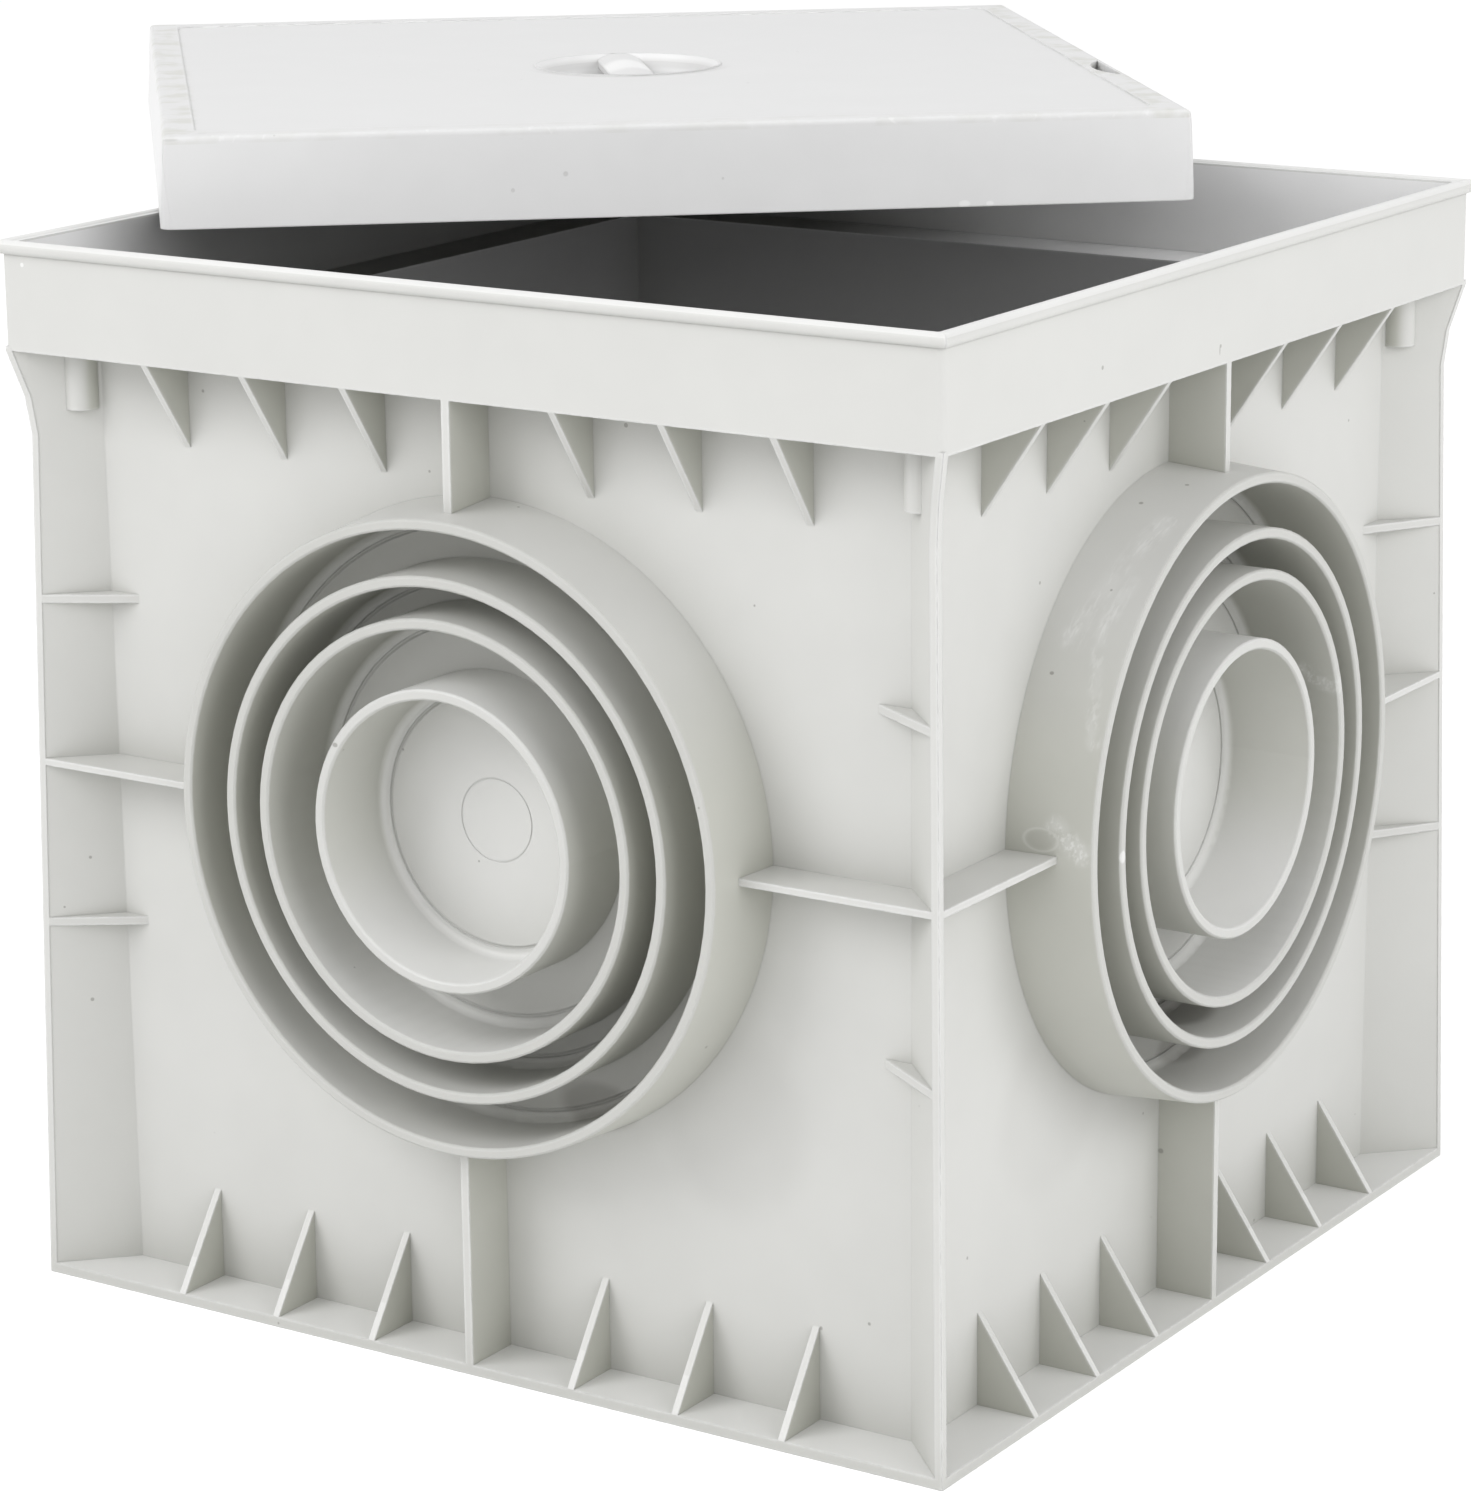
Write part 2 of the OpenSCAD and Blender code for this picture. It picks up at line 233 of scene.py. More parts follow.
class StageSettings(bpy.types.PropertyGroup):
    """Floor, lamps and camera."""

    floor_colour: colour("Floor colour", "Colour of the floor", (0.9, 0.9, 0.9))
    floor_lift: share("Floor lift", "Light added to the floor that the camera sees", 0.42)
    sky_strength: FloatProperty(
        name="Sky strength", description="Brightness of the surroundings", default=0.62, min=0.0
    )
    key_power: power("Key power", "Power of the lamp at the upper left", 12.0)
    front_power: power("Front power", "Power of the lamp in front", 4.0)
    fill_power: power("Fill power", "Power of the lamp at the right", 7.0)
    back_power: power("Back power", "Power of the lamp at the upper right, behind", 5.0)
    camera_place: FloatVectorProperty(
        name="Camera place", description="Where the camera stands", subtype="TRANSLATION",
        unit="LENGTH", default=(0.48246, -0.74650, 0.32913),
    )
    camera_turn: angle("Camera turn", "Turn round the chamber", 33.204)
    camera_tip: angle("Camera tip", "Tip below the level", 14.81)
    camera_roll: angle("Camera roll", "Roll about the view", 0.595)
    camera_lens: FloatProperty(
        name="Lens", description="Focal length in millimetres", default=114.865, min=1.0
    )


# -------------------------------------------------------------- node building


class Tree:
    """Adds nodes to one node tree and links them."""

    def __init__(self, tree):
        self.tree = tree

    def feed(self, node, inputs):
        """Gives a node its inputs, as values or as the sockets that feed them."""
        for key, value in inputs.items():
            if isinstance(value, bpy.types.NodeSocket):
                self.tree.links.new(value, node.inputs[key])
            else:
                node.inputs[key].default_value = value
        return node

    def add(self, kind, inputs, **settings):
        """A node with its inputs and its settings."""
        node = self.tree.nodes.new("ShaderNode" + kind)
        for key, value in settings.items():
            setattr(node, key, value)
        return self.feed(node, inputs)

    def group(self, name, make, **inputs):
        """A shared node group, built once by make and placed with its own values."""
        node = self.tree.nodes.new("ShaderNodeGroup")
        node.node_tree = bpy.data.node_groups.get(name) or make(name)
        self.feed(node, {key.replace("_", " "): value for key, value in inputs.items()})
        return node.outputs

    def math(self, operation, first, second=0.0, third=0.0):
        """The result of one Math node."""
        return self.add("Math", {0: first, 1: second, 2: third}, operation=operation).outputs[0]

    def product(self, *factors):
        """Factors multiplied together."""
        result = factors[0]
        for factor in factors[1:]:
            result = self.math("MULTIPLY", result, factor)
        return result

    def most(self, *masks):
        """The largest of several masks."""
        result = masks[0]
        for mask in masks[1:]:
            result = self.math("MAXIMUM", result, mask)
        return result

    def unsigned(self, value):
        """A value without its sign."""
        return self.math("ABSOLUTE", value)

    def inverse(self, value):
        """What is left from a value to 1."""
        return self.math("SUBTRACT", 1.0, value)

    def above(self, value, limit):
        """1 where a value is over a limit."""
        return self.math("GREATER_THAN", value, limit)

    def below(self, value, limit):
        """1 where a value is under a limit."""
        return self.math("LESS_THAN", value, limit)

    def distance(self, first, second):
        """The length of the way made of two steps at right angles."""
        squares = self.product(first, first), self.product(second, second)
        return self.math("SQRT", self.math("ADD", *squares))

    def ramp(self, value, low, high, to_low=0.0, to_high=1.0):
        """A smooth step of value from low to high."""
        node = self.add(
            "MapRange",
            {"Value": value, "From Min": low, "From Max": high,
             "To Min": to_low, "To Max": to_high},
            interpolation_type="SMOOTHSTEP",
        )
        return node.outputs["Result"]

    def near(self, value, middle, fade):
        """1 where a value is near its middle, fading out over a pair of distances."""
        return self.ramp(self.unsigned(self.math("SUBTRACT", value, middle)), *fade)

    def blend(self, factor, first, second, kind="MIX"):
        """Two colours mixed."""
        node = self.add("Mix", {}, data_type="RGBA", blend_type=kind)
        return self.feed(node, {0: factor, 6: first, 7: second}).outputs[2]

    def split(self, vector):
        """The three parts of a vector."""
        return self.add("SeparateXYZ", {"Vector": vector}).outputs

    def square_distance(self, axes):
        """The larger of x and y, whatever their signs."""
        return self.math("MAXIMUM", self.unsigned(axes["X"]), self.unsigned(axes["Y"]))

    def noise(self, place, scale, detail, roughness=0.5):
        """Soft noise, with scale in waves per metre."""
        inputs = {"Vector": place, "Scale": scale, "Detail": detail, "Roughness": roughness}
        return self.add("TexNoise", inputs).outputs["Fac"]

    def vector(self, operation, first, second=None):
        """The result of one Vector Math node."""
        inputs = {0: first} if second is None else {0: first, 1: second}
        node = self.add("VectorMath", inputs, operation=operation)
        return node.outputs["Value" if operation in ("DOT_PRODUCT", "LENGTH") else "Vector"]

    def scaled(self, direction, amount):
        """A direction made longer or shorter."""
        node = self.add("VectorMath", {"Vector": direction, "Scale": amount}, operation="SCALE")
        return node.outputs["Vector"]


def new_group(name, inputs, outputs):
    """An empty node group: its tree builder, its input sockets and its output node."""
    tree = bpy.data.node_groups.new(name, "ShaderNodeTree")
    for label, kind, default in inputs:
        socket = tree.interface.new_socket(label, in_out="INPUT", socket_type="NodeSocket" + kind)
        if default is not None:
            socket.default_value = default
    for label in outputs:
        tree.interface.new_socket(label, in_out="OUTPUT", socket_type="NodeSocketFloat")
    start = tree.nodes.new("NodeGroupInput")
    end = tree.nodes.new("NodeGroupOutput")
    return Tree(tree), start.outputs, end


# ------------------------------------------------------------- shared effects


def edge_group(name):
    """Masks for painted highlights and painted shade: 1 on convex edges, and 1 in tight corners and
    gaps.
    """
    edge_open, edge_full = 0.95, 0.45
    corner_open, corner_full = 0.9, 0.15
    t, given, end = new_group(
        name,
        [("Edge Width", "Float", 0.8 * MM), ("Corner Reach", "Float", 12 * MM)],
        ["Edge", "Corner"],
    )
    inner = t.add("AmbientOcclusion", {"Distance": given["Edge Width"]}, samples=2, inside=True,
                  only_local=True)
    outer = t.add("AmbientOcclusion", {"Distance": given["Corner Reach"]}, samples=3)
    t.feed(end, {"Edge": t.ramp(inner.outputs["AO"], edge_open, edge_full),
                 "Corner": t.ramp(outer.outputs["AO"], corner_open, corner_full)})
    return t.tree


def haze_group(name):
    """Soft clouds that a mould leaves in plastic, as a value round 0."""
    noise_middle = 0.5
    t, given, end = new_group(
        name, [("Place", "Vector", None), ("Size", "Float", 20 * MM)], ["Haze"]
    )
    scale = t.math("DIVIDE", 1.0, given["Size"])
    wide = t.noise(given["Place"], scale, detail=2.0, roughness=0.6)
    t.feed(end, {"Haze": t.math("SUBTRACT", wide, noise_middle)})
    return t.tree


def speck_group(name):
    """Sparse small dark grains in the plastic, as a mask."""
    t, given, end = new_group(
        name,
        [("Place", "Vector", None), ("Spacing", "Float", 11 * MM), ("Radius", "Float", 0.3 * MM)],
        ["Speck"],
    )
    scale = t.math("DIVIDE", 1.0, given["Spacing"])
    cells = t.add("TexVoronoi", {"Vector": given["Place"], "Scale": scale}).outputs
    reach = t.math("MULTIPLY", given["Radius"], scale)
    chance = t.add("SeparateColor", {"Color": cells["Color"]}).outputs["Red"]
    edge = t.math("MULTIPLY", reach, chance)
    t.feed(end, {"Speck": t.below(cells["Distance"], edge)})
    return t.tree


def grain_group(name):
    """Fine uneven grain of a moulded face, as a height in metres."""
    fine_scale, wavy_scale, wave_height = 900.0, 45.0, 6.0
    t, given, end = new_group(
        name, [("Place", "Vector", None), ("Depth", "Float", 0.01 * MM)], ["Height"]
    )
    fine = t.noise(given["Place"], fine_scale, detail=1.0)
    wavy = t.noise(given["Place"], wavy_scale, detail=1.0)
    height = t.math("MULTIPLY_ADD", wavy, wave_height, fine)
    t.feed(end, {"Height": t.math("MULTIPLY", height, given["Depth"])})
    return t.tree


def line_group(name):
    """How near a place is to a line between two points: 1 on the line, and 0 at its width."""
    full = 0.1
    t, given, end = new_group(
        name,
        [("Place", "Vector", None), ("Start", "Vector", None), ("Along", "Vector", None),
         ("Length", "Float", 10 * MM), ("Width", "Float", 2 * MM)],
        ["Reach"],
    )
    offset = t.vector("SUBTRACT", given["Place"], given["Start"])
    run = t.vector("DOT_PRODUCT", offset, given["Along"])
    held = t.math("MINIMUM", t.math("MAXIMUM", run, 0.0), given["Length"])
    away = t.vector("SUBTRACT", offset, t.scaled(given["Along"], held))
    distance = t.math("DIVIDE", t.vector("LENGTH", away), given["Width"])
    t.feed(end, {"Reach": t.ramp(distance, 1.0, full)})
    return t.tree


def stroke_group(name):
    """Rubbed plastic: noise drawn out along a direction into fine strokes, over broad patches."""
    draw, stroke_scale, patch_scale, stroke_share = 0.82, 1300.0, 300.0, 0.6
    stroke_range, patch_range = (0.46, 0.66), (0.35, 0.62)
    t, given, end = new_group(
        name, [("Place", "Vector", None), ("Along", "Vector", None)], ["Rubbed"]
    )
    place, along = given["Place"], given["Along"]
    run = t.vector("DOT_PRODUCT", place, along)
    drawn = t.vector("SUBTRACT", place, t.scaled(along, t.math("MULTIPLY", run, draw)))
    fine = t.ramp(t.noise(drawn, stroke_scale, detail=2.0, roughness=0.65), *stroke_range)
    broad = t.ramp(t.noise(place, patch_scale, detail=1.0), *patch_range)
    patches = t.math("MULTIPLY", broad, 1.0 - stroke_share)
    t.feed(end, {"Rubbed": t.math("MULTIPLY_ADD", fine, stroke_share, patches)})
    return t.tree


def spot_group(name):
    """A rounded mark: Fill is 1 inside an ellipsoid, and Line is 1 at its skin."""
    full, line_open, line_full = 0.6, 0.16, 0.02
    t, given, end = new_group(
        name,
        [("Place", "Vector", None), ("Centre", "Vector", None), ("Size", "Vector", (MM, MM, MM))],
        ["Fill", "Line"],
    )
    offset = t.vector("SUBTRACT", given["Place"], given["Centre"])
    distance = t.vector("LENGTH", t.vector("DIVIDE", offset, given["Size"]))
    t.feed(end, {"Fill": t.ramp(distance, 1.0, full),
                 "Line": t.near(distance, 1.0, (line_open, line_full))})
    return t.tree


# ------------------------------------------------------------------ materials


def lid_axes(t, place):
    """The lid's own axes, turned with it about the upright through its middle."""
    own = t.add("Mapping", {"Vector": place, "Location": LID_PLACE, "Rotation": (0, 0, LID_TURN)},
                vector_type="TEXTURE").outputs[0]
    axes = t.split(own)
    return own, axes, t.square_distance(axes)


def side_faces(t, axes, facing):
    """1 on faces that run straight out of their own wall, such as the sides of rings, ribs and
    gussets, and 0 on the walls themselves and on faces that look up."""
    on_x_wall = t.above(t.unsigned(axes["X"]), t.unsigned(axes["Y"]))
    outward = t.math("ADD", t.product(on_x_wall, t.unsigned(facing["X"])),
                     t.product(t.inverse(on_x_wall), t.unsigned(facing["Y"])))
    upward = t.math("MAXIMUM", facing["Z"], 0.0)
    return t.ramp(t.math("MAXIMUM", outward, upward), *SIDE_TURN)


def ring_distance(t, axes):
    """Distance from the level line that a side's rings stand round. The line runs out through the
    middle of the side, so the distance is made of the height and of the smaller of x and y."""
    across = t.math("MINIMUM", t.unsigned(axes["X"]), t.unsigned(axes["Y"]))
    return t.distance(across, t.math("SUBTRACT", axes["Z"], RING_HEIGHT))


def outside_tones(t, axes, half, facing, upward, look, tone):
    """The base tone with painted shade on side faces, ring ends and towards the foot, with painted
    light and shade in the cores, and with painted light on the rim's top and the foot's upper
    faces.
    """
    height = axes["Z"]
    # painted shade on the sides of rings, ribs and gussets
    sides = t.product(side_faces(t, axes, facing), t.below(height, COLLAR_FOOT), look.side_shade)
    tone = t.blend(sides, tone, SIDE_SHADE_TONE)
    radius = ring_distance(t, axes)
    # painted shade on the ends of the rings
    ring_ends = t.product(t.below(radius, RINGS_REACH), t.above(half, RING_ENDS))
    tone = t.blend(t.product(ring_ends, RING_END_SHADE), tone, GAP_SHADE)
    # painted light on the cores' faces that look up, and painted shade on those that look down
    core = t.ramp(radius, *CORE_EDGE)
    downward = t.math("MAXIMUM", t.math("MULTIPLY", facing["Z"], -1.0), 0.0)
    lighting = t.math("MULTIPLY_ADD", upward, CORE_LIGHT_UPWARD, look.core_light)
    tone = t.blend(t.product(core, lighting), tone, WHITE)
    tone = t.blend(t.product(core, downward, CORE_SHADE_DOWNWARD), tone, GAP_SHADE)
    # painted shade, darker towards the foot on faces that do not look up
    shading = t.product(t.ramp(height, *FOOT_SHADE_HEIGHTS), t.inverse(upward), look.foot_shade)
    tone = t.blend(shading, tone, GAP_SHADE)
    # painted light on the top of the rim
    rim = t.product(t.above(height, RIM_LOW), upward, look.rim_light)
    # painted light on the foot's upper faces
    foot = t.product(t.below(height, FOOT_TOP), upward, look.foot_light)
    return t.blend(t.most(rim, foot), tone, WHITE)


def recess_tone(t, place, axes, upward, look):
    """The tone of the recess: painted light on the ledge, and a painted shadow where the lid lies
    over it.
    """
    in_lid_shadow = t.product(
        t.ramp(lid_axes(t, place)[2], *LID_SHADOW), t.ramp(axes["X"], *LID_SHADOW_SIDE)
    )
    # painted light on the ledge's upper faces
    ledge = t.product(upward, t.below(axes["Z"], LEDGE_HIGH), LEDGE_LIGHT)
    tone = t.blend(ledge, (*look.recess_lit_colour, 1.0), WHITE)
    # the lid's painted shadow, darker still on faces that look up
    tone = t.blend(in_lid_shadow, tone, (*look.lid_shadow_colour, 1.0))
    return t.blend(t.product(in_lid_shadow, upward, LID_SHADOW_SHADE), tone, GAP_SHADE)


def chamber_zones(t, place, facing, upward, look, tone):
    """The chamber's outside, its inside darkened with painted shade, and the recess in its collar
    with painted light and a painted shadow.
    """
    axes = t.split(place)
    half = t.square_distance(axes)
    height = axes["Z"]
    tone = outside_tones(t, axes, half, facing, upward, look, tone)
    in_walls = t.product(t.below(half, INNER_WALL), t.above(height, FLOOR_TOP))
    in_recess = t.product(t.below(half, RECESS_WALL), t.above(height, LEDGE_LOW),
                          t.below(height, RECESS_TOP))
    # painted shade: the inside of the walls takes the darker inside grey
    tone = t.blend(in_walls, tone, (*look.inside_shade_colour, 1.0))
    return t.blend(in_recess, tone, recess_tone(t, place, axes, upward, look))


def near_line(t, place, start, end, width):
    """How near a place is to the line between two points, given in millimetres."""
    start, end = Vector(start) * MM, Vector(end) * MM
    return t.group("Line reach", line_group, Place=place, Start=start,
                   Along=(end - start).normalized(), Length=(end - start).length,
                   Width=width * MM)["Reach"]


def spot(t, place, centre, size):
    """A small mark, its centre and size along each axis given in millimetres."""
    return t.group("Spot", spot_group, Place=place, Centre=Vector(centre) * MM,
                   Size=Vector(size) * MM)


def spots(t, place, *marks):
    """Several small marks in one mask."""
    return t.most(*[spot(t, place, centre, size)["Fill"] for centre, size in marks])


def chamber_scuffs(t, place):
    """Pale scuffs: on the right side's largest ring, by its level rib, and inside its third
    ring, with a pale dot on the collar and a nub on a ring's end."""
    over_ring = near_line(t, place, (99.3, -23.2, 153.7), (93.2, -45.5, 137.1), 3.6)
    beside_it = near_line(t, place, (99.8, -36.4, 145.6), (98.1, -43.7, 138.6), 2.2)
    along_rim = near_line(t, place, (98.0, -44.7, 137.6), (101.8, -53.8, 121.3), 2.0)
    by_rib = near_line(t, place, (97.0, -57.7, 106.5), (101.6, -57.5, 102.4), 3.0)
    in_ring = near_line(t, place, (97.5, 36.0, 114.5), (102.8, 37.5, 112.5), 3.2)
    rubbed = t.group("Rubbed strokes", stroke_group, Place=place, Along=SCUFF_RUN)["Rubbed"]
    faint = t.product(t.most(over_ring, beside_it, along_rim), FAINT_SCUFF)
    scuffs = t.product(t.most(faint, by_rib, in_ring), rubbed)
    white_dot = spot(t, place, (-94.1, -99.0, 194.3), (0.5, 0.5, 0.5))["Fill"]
    rim_nub = spot(t, place, (104.0, -46.6, 99.7), (1.0, 1.0, 1.4))["Fill"]
    return t.most(scuffs, white_dot, rim_nub)


def chamber_stains(t, place):
    """Small dark marks: bigger grains, a tick under the collar and nicks."""
    by_rib = (87.9, -0.9, 29.2), (0.7, 0.5, 0.6)
    on_ring = (96.4, -10.4, 157.9), (0.5, 0.5, 0.5)
    top_of_ring = (92.1, -19.4, 155.8), (0.5, 0.5, 0.5)
    side_of_ring = (91.4, -49.6, 131.4), (0.5, 0.4, 0.4)
    rim_nick = (-22.2, -104.0, 115.6), (0.7, 0.6, 0.5)
    collar_tick = (99.0, -3.7, 181.1), (0.3, 0.2, 1.1)
    gusset_tip = (67.6, -88.0, 19.1), (0.5, 1.2, 0.6)
    return spots(t, place, by_rib, on_ring, top_of_ring, side_of_ring, rim_nick, collar_tick,
                 gusset_tip)


def chamber_shadows(t, place):
    """Painted shadows: soft grey clouds on the walls below the rings, and in the gaps at the rings'
    foot.
    """
    right_wall = (87.5, -42.0, 50.0), (5.0, 22.0, 20.0)
    left_wall = (50.0, -87.5, 54.0), (18.0, 5.0, 22.0)
    inner_gap = (89.0, 2.0, 55.5), (8.0, 11.0, 4.0)
    outer_gap = (87.0, 7.0, 48.0), (6.0, 9.0, 4.0)
    left_gap = (21.0, -87.0, 51.5), (10.0, 6.0, 5.0)
    return t.most(t.product(spots(t, place, right_wall, left_wall), WALL_SHADOW_SHADE),
                  spots(t, place, inner_gap),
                  t.product(spots(t, place, outer_gap, left_gap), GAP_SHADOW_SHADE))


def chamber_marks(look):
    """The chamber's zones with their painted light and shade, its marks, and its painted shadows.
    """

    def marks(t, place, facing, upward, tone):
        tone = chamber_zones(t, place, facing, upward, look, tone)
        sink = spot(t, place, (94.1, -57.9, 104.1), (3.3, 1.2, 2.0))
        pale = t.most(chamber_scuffs(t, place), t.product(sink["Line"], SINK_LINE))
        # dark marks: stains and the sink mark, together with painted shadows
        dark = t.most(chamber_stains(t, place), t.product(sink["Fill"], SINK_SHADE),
                      chamber_shadows(t, place))
        return tone, pale, dark

    return marks


def dish_tones(t, axes, at_top, tone):
    """A line of painted shade down the dish's wall, a soft painted shade before its near edge, and
    a painted highlight on the bar's middle."""
    radius = t.distance(axes["X"], axes["Y"])
    depth = t.math("SUBTRACT", LID_TOP, axes["Z"])
    # painted shade down the dish's wall
    wall_shade = t.product(t.near(depth, WALL_SHADE_DEPTH, WALL_SHADE_FADE), t.below(radius, DISH_WALL))
    tone = t.blend(t.product(wall_shade, DISH_WALL_SHADE), tone, GRIT_AND_SHADOW)
    # painted shade before the dish's near edge
    edge = t.product(t.near(radius, DISH_EDGE, EDGE_FADE), t.ramp(axes["Y"], *NEAR_HALF), at_top)
    tone = t.blend(t.product(edge, DISH_EDGE_SHADE), tone, GRIT_AND_SHADOW)
    # painted highlight on the bar's middle
    bar = t.product(t.ramp(radius, *BAR_HIGHLIGHT_REACH), t.below(depth, BAR_DEPTH))
    return t.blend(t.product(bar, BAR_HIGHLIGHT), tone, WHITE)


def border_tones(t, own, axes, border, tone):
    """The border's dull rubbed patches, strongest along the lid's two sides."""
    sides = t.ramp(t.unsigned(axes["X"]), *SIDE_BORDERS)
    patches = t.ramp(t.noise(own, PATCH_SCALE, detail=2.0, roughness=0.7), *PATCH_RANGE)
    amount = t.math("MULTIPLY_ADD", sides, PATCHES_ON_SIDES, PATCHES_ELSEWHERE)
    rubbed = t.product(amount, border, patches)
    return t.blend(t.product(rubbed, BORDER_SHADE), tone, BORDER_TONE)


def lid_marks(t, place, facing, upward, tone):
    """The lid's rubbed border, painted light on the step down to its panel, its dish, its chipped
    edges and the strokes at its near corner.
    """
    own, axes, half = lid_axes(t, place)
    at_top = t.above(axes["Z"], LID_TOP - TOP_SKIN)
    border = t.product(t.ramp(half, *WHOLE_BORDER), at_top)
    tone = border_tones(t, own, axes, border, tone)
    # painted light on the step's upright faces, taking out their shaded line
    step = t.product(t.inverse(upward), t.below(half, STEP_REACH), at_top)
    tone = t.blend(t.product(step, STEP_LIGHT), tone, WHITE)
    tone = dish_tones(t, axes, at_top, tone)

    flecks = t.ramp(t.noise(own, FLECK_SCALE, detail=2.0, roughness=0.7), *FLECK_RANGE)
    left_chip = (52.3, -96.2, 199.4), (1.3, 0.7, 0.8)
    right_chip = (57.1, -96.2, 199.3), (0.9, 0.7, 0.6)
    top_chip = (14.0, -96.0, 215.6), (0.9, 0.6, 0.4)
    pale = t.most(t.product(border, flecks, FLECK_LIFT),
                  spots(t, own, left_chip, right_chip, top_chip))
    corner_stroke = (-94.0, -95.6, 215.1), (2.6, 0.6, 0.45)
    top_stroke = (-88.5, -92.5, 215.6), (1.6, 0.4, 0.5)
    upper_dot = (-30.0, -95.9, 213.6), (1.0, 0.6, 0.4)
    lower_dot = (-22.0, -95.9, 207.0), (0.6, 0.6, 0.6)
    strokes = spots(t, own, corner_stroke, top_stroke, upper_dot, lower_dot)
    return tone, pale, t.product(strokes, STROKE_SHADE)


def plastic(name, look, base, corner_shade, speck_tone, marks):
    """Moulded plastic: haze, specks, scuffs, painted highlights on edges, painted shade in corners,
    and fine grain on soft edges.

    marks(t, place, facing, upward, tone) returns the base tone with the piece's own zones, and
    the masks of its pale marks and of its dark marks, with any painted shadows among the dark
    ones. Faces that look up keep most of their tone in a corner, as they get the most light.
    """
    material = bpy.data.materials.new(name)
    material.use_nodes = True
    t = Tree(material.node_tree)
    shader = material.node_tree.nodes["Principled BSDF"]
    place = t.add("TexCoord", {}).outputs["Object"]
    facing = t.split(t.add("NewGeometry", {}).outputs["Normal"])
    upward = t.math("MAXIMUM", facing["Z"], 0.0)
    edges = t.group("Edges and corners", edge_group, Edge_Width=look.edge_width,
                    Corner_Reach=look.corner_reach)
    haze = t.group("Mould haze", haze_group, Place=place, Size=HAZE_SIZE)["Haze"]
    speck = t.group("Specks", speck_group, Place=place, Spacing=look.speck_spacing,
                    Radius=look.speck_radius)["Speck"]
    grain = t.group("Fine grain", grain_group, Place=place, Depth=look.grain_depth)["Height"]

    tone, pale, dark = marks(t, place, facing, upward, (*base, 1.0))
    scuffed = t.product(pale, look.scuff_strength)
    # painted highlight on convex edges, then painted shade in corners
    tone = t.blend(t.product(edges["Edge"], look.edge_highlight), tone, WHITE)
    relief = t.math("MULTIPLY_ADD", upward, CORNER_RELIEF, 1.0)
    tone = t.blend(t.product(edges["Corner"], relief, corner_shade), tone, GAP_SHADE)
    cloud = t.math("MULTIPLY_ADD", haze, HAZE_TONE, 1.0)
    grey = t.add("CombineColor", {"Red": cloud, "Green": cloud, "Blue": cloud}).outputs["Color"]
    tone = t.blend(1.0, tone, grey, "MULTIPLY")
    tone = t.blend(scuffed, tone, WHITE)
    # specks and dark marks, with the painted shadows among the dark marks
    grit_and_shadow = t.most(t.product(speck, speck_tone), t.product(dark, DARK_AND_SHADOW_SHADE))
    tone = t.blend(grit_and_shadow, tone, GRIT_AND_SHADOW)

    scuffed_roughness = t.math("MULTIPLY_ADD", scuffed, SCUFF_ROUGHNESS, look.roughness)
    roughness = t.math("MULTIPLY_ADD", haze, HAZE_ROUGHNESS, scuffed_roughness)
    soft = t.add("Bevel", {"Radius": look.edge_radius}, samples=3).outputs["Normal"]
    bump = t.add("Bump", {"Height": grain, "Normal": soft, "Strength": 1.0, "Distance": 1.0})
    t.feed(shader, {"Base Color": tone, "Roughness": roughness,
                    "Normal": bump.outputs["Normal"], "IOR": PLASTIC_IOR})
    return material


def seen_paths(t):
    """1 for what the camera or a reflection sees, and 0 for light that falls on something."""
    paths = t.add("LightPath", {}).outputs
    return t.math("MAXIMUM", paths["Is Camera Ray"], paths["Is Glossy Ray"])


def floor_material(stage):
    """Pale matt floor, lifted towards white where the camera or a reflection sees it."""
    material = bpy.data.materials.new("Floor")
    material.use_nodes = True
    t = Tree(material.node_tree)
    shader = material.node_tree.nodes["Principled BSDF"]
    lift = t.product(seen_paths(t), stage.floor_lift)
    t.feed(shader, {"Base Color": (*stage.floor_colour, 1.0), "Roughness": FLOOR_ROUGHNESS,
                    "Specular IOR Level": FLOOR_SHINE, "Emission Color": WHITE,
                    "Emission Strength": lift})
    material.cycles.emission_sampling = "NONE"
    return material


# ------------------------------------------------------------------ operators


class DRAIN_OT_chamber(bpy.types.Operator):
    """Give the chamber its plastic"""

    bl_idname = "drain.chamber"
    bl_label = "Dress the chamber"

    def execute(self, context):
        look = context.scene.drain_plastic
        CHAMBER.data.materials[0] = plastic(
            "Chamber plastic", look, look.chamber_colour, look.corner_shade, look.speck_tone,
            chamber_marks(look),
        )
        return {"FINISHED"}


class DRAIN_OT_lid(bpy.types.Operator):
    """Give the lid its plastic"""

    bl_idname = "drain.lid"
    bl_label = "Dress the lid"

    def execute(self, context):
        look = context.scene.drain_plastic
        LID.data.materials[0] = plastic(
            "Lid plastic", look, look.lid_colour, look.lid_shade, look.lid_speck_tone, lid_marks
        )
        return {"FINISHED"}


def area_lamp(scene, name, watts, width, place, mirrored):
    """A square lamp at place that shines at the object; glossy faces mirror it where mirrored
    is true."""
    data = bpy.data.lights.new(name, "AREA")
    data.energy = watts
    data.size = width
    lamp = bpy.data.objects.new(name, data)
    lamp.location = place
    lamp.visible_glossy = mirrored
    lamp.rotation_euler = (LAMP_AIM - Vector(place)).to_track_quat("-Z", "Y").to_euler()
    scene.collection.objects.link(lamp)


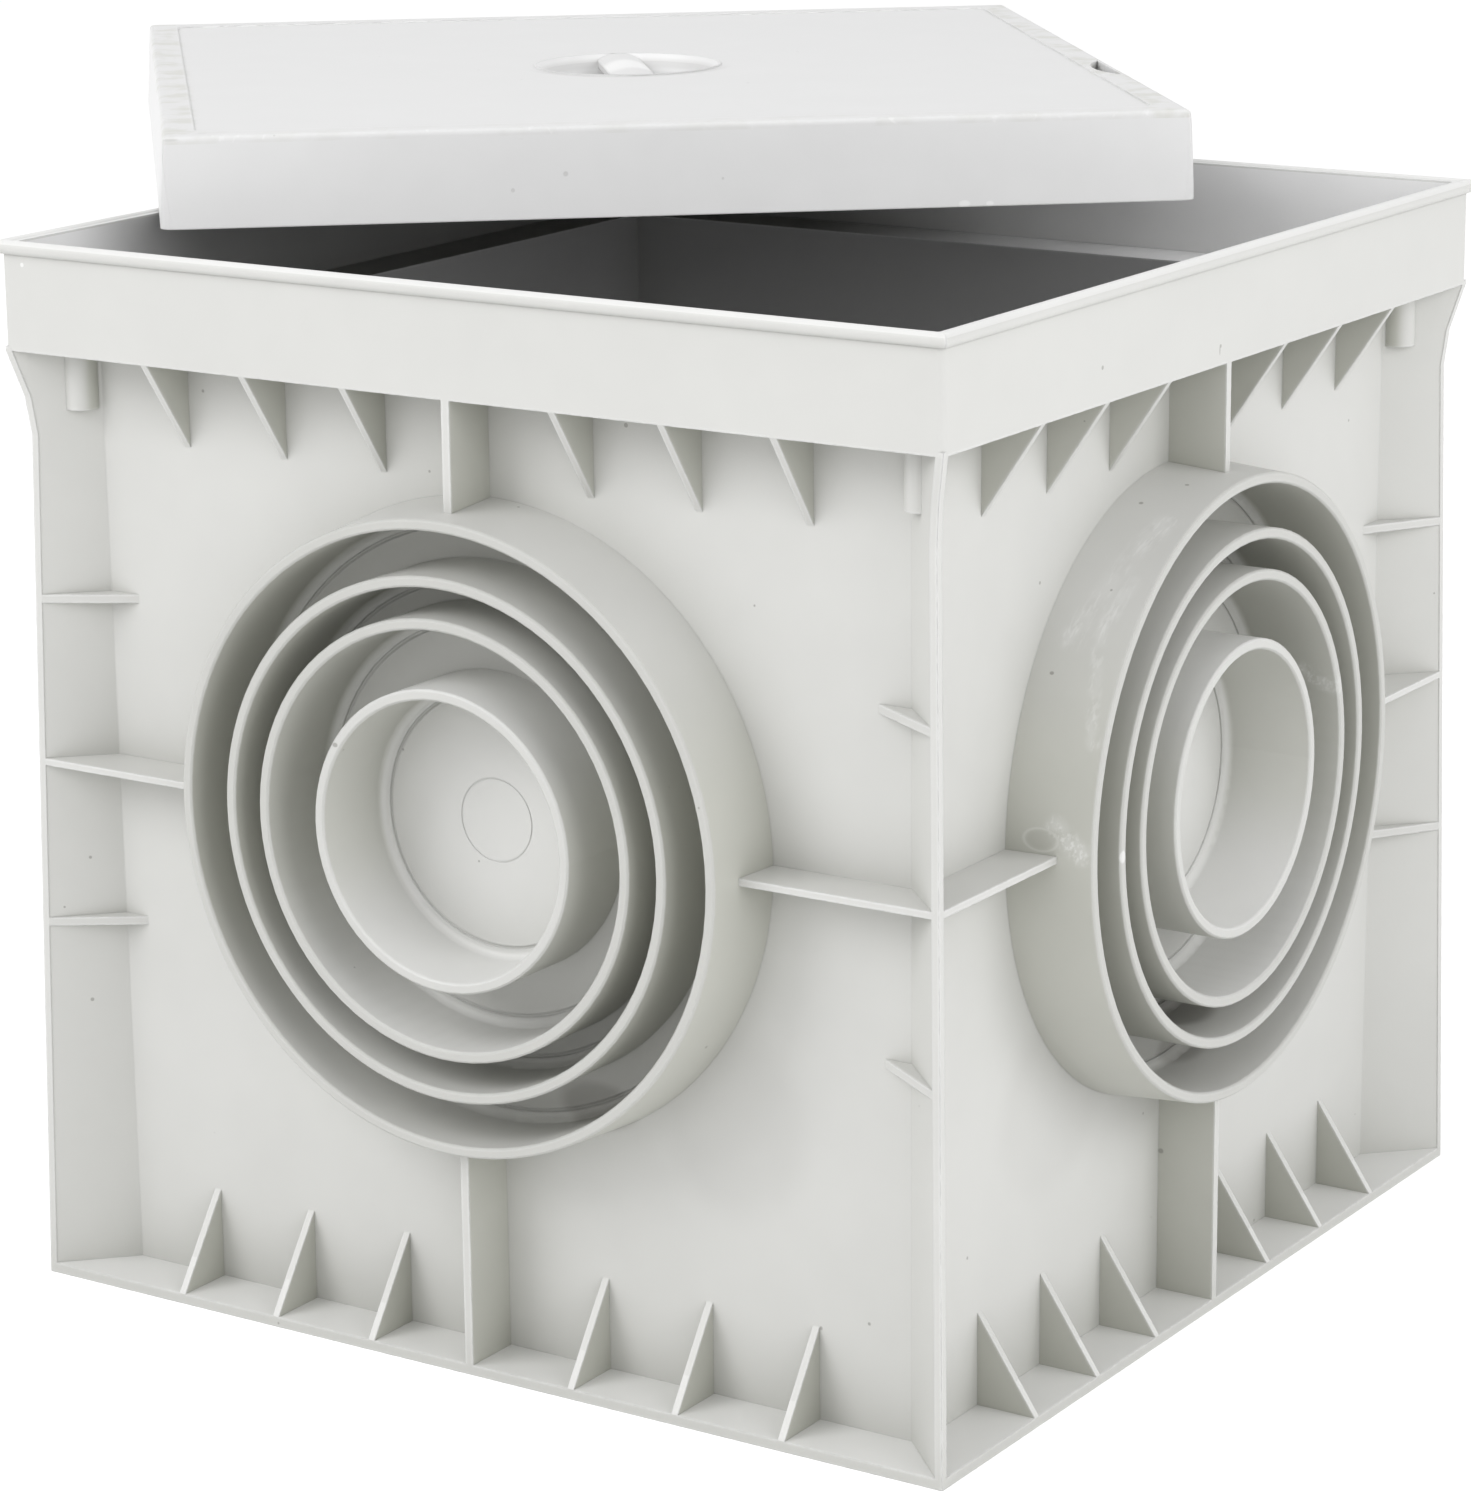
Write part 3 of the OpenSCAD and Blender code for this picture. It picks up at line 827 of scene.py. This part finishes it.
class DRAIN_OT_stage(bpy.types.Operator):
    """Make the floor, the lamps and the camera"""

    bl_idname = "drain.stage"
    bl_label = "Set the stage"

    def execute(self, context):
        scene = context.scene
        self.make_floor(scene, scene.drain_stage)
        self.make_light(scene, scene.drain_stage)
        self.make_camera(scene, scene.drain_stage)
        scene.view_settings.view_transform = "Standard"
        return {"FINISHED"}

    def make_floor(self, scene, stage):
        """A flat square at the foot's level."""
        half = FLOOR_WIDTH / 2
        corners = [(-half, -half, 0), (half, -half, 0), (half, half, 0), (-half, half, 0)]
        mesh = bpy.data.meshes.new("Floor")
        mesh.from_pydata(corners, [], [(0, 1, 2, 3)])
        mesh.materials.append(floor_material(stage))
        floor = bpy.data.objects.new("Floor", mesh)
        scene.collection.objects.link(floor)

    def make_light(self, scene, stage):
        """A sky that is white to the camera and plain to the object, and four soft lamps: at the
        upper left of the view, in front, at the right, and at the upper right behind."""
        world = bpy.data.worlds.new("Studio")
        world.use_nodes = True
        t = Tree(world.node_tree)
        strength = t.ramp(seen_paths(t), 0.0, 1.0, stage.sky_strength, 1.0)
        t.feed(world.node_tree.nodes["Background"], {"Color": WHITE, "Strength": strength})
        scene.world = world
        for name, setting, width, place, mirrored in LAMPS:
            area_lamp(scene, name, getattr(stage, setting), width, place, mirrored)

    def make_camera(self, scene, stage):
        """The camera, its axes worked out from turn, tip and roll."""
        turn, tip, roll = stage.camera_turn, stage.camera_tip, stage.camera_roll
        level = math.cos(tip)
        back = Vector((math.sin(turn) * level, -math.cos(turn) * level, math.sin(tip)))
        right = Vector((math.cos(turn), math.sin(turn), 0.0))
        up = back.cross(right)
        across = right * math.cos(roll) - up * math.sin(roll)
        upward = right * math.sin(roll) + up * math.cos(roll)
        data = bpy.data.cameras.new("Camera")
        data.lens = stage.camera_lens
        camera = bpy.data.objects.new("Camera", data)
        axes = Matrix((across, upward, back)).transposed().to_4x4()
        camera.matrix_world = Matrix.Translation(stage.camera_place) @ axes
        scene.collection.objects.link(camera)
        scene.camera = camera


class DRAIN_PT_panel(bpy.types.Panel):
    """Lists the settings and the steps"""

    bl_idname = "DRAIN_PT_panel"
    bl_label = "Drain Chamber"
    bl_space_type = "VIEW_3D"
    bl_region_type = "UI"
    bl_category = "Drain Chamber"

    def draw(self, context):
        for settings in (context.scene.drain_plastic, context.scene.drain_stage):
            box = self.layout.box()
            for key in settings.__annotations__:
                box.prop(settings, key)
        for step in STEPS:
            self.layout.operator(step.bl_idname)


SETTINGS = {"drain_plastic": PlasticSettings, "drain_stage": StageSettings}
STEPS = (DRAIN_OT_chamber, DRAIN_OT_lid, DRAIN_OT_stage)


def register():
    """Makes the settings, the steps and the panel known."""
    for cls in (*SETTINGS.values(), *STEPS, DRAIN_PT_panel):
        bpy.utils.register_class(cls)
    for key, cls in SETTINGS.items():
        setattr(bpy.types.Scene, key, PointerProperty(type=cls))


def unregister():
    """Takes them away again."""
    for key in SETTINGS:
        delattr(bpy.types.Scene, key)
    for cls in (DRAIN_PT_panel, *reversed(STEPS), *reversed(SETTINGS.values())):
        bpy.utils.unregister_class(cls)


def main():
    register()
    bpy.ops.drain.chamber()
    bpy.ops.drain.lid()
    bpy.ops.drain.stage()


if __name__ == "__main__":
    main()
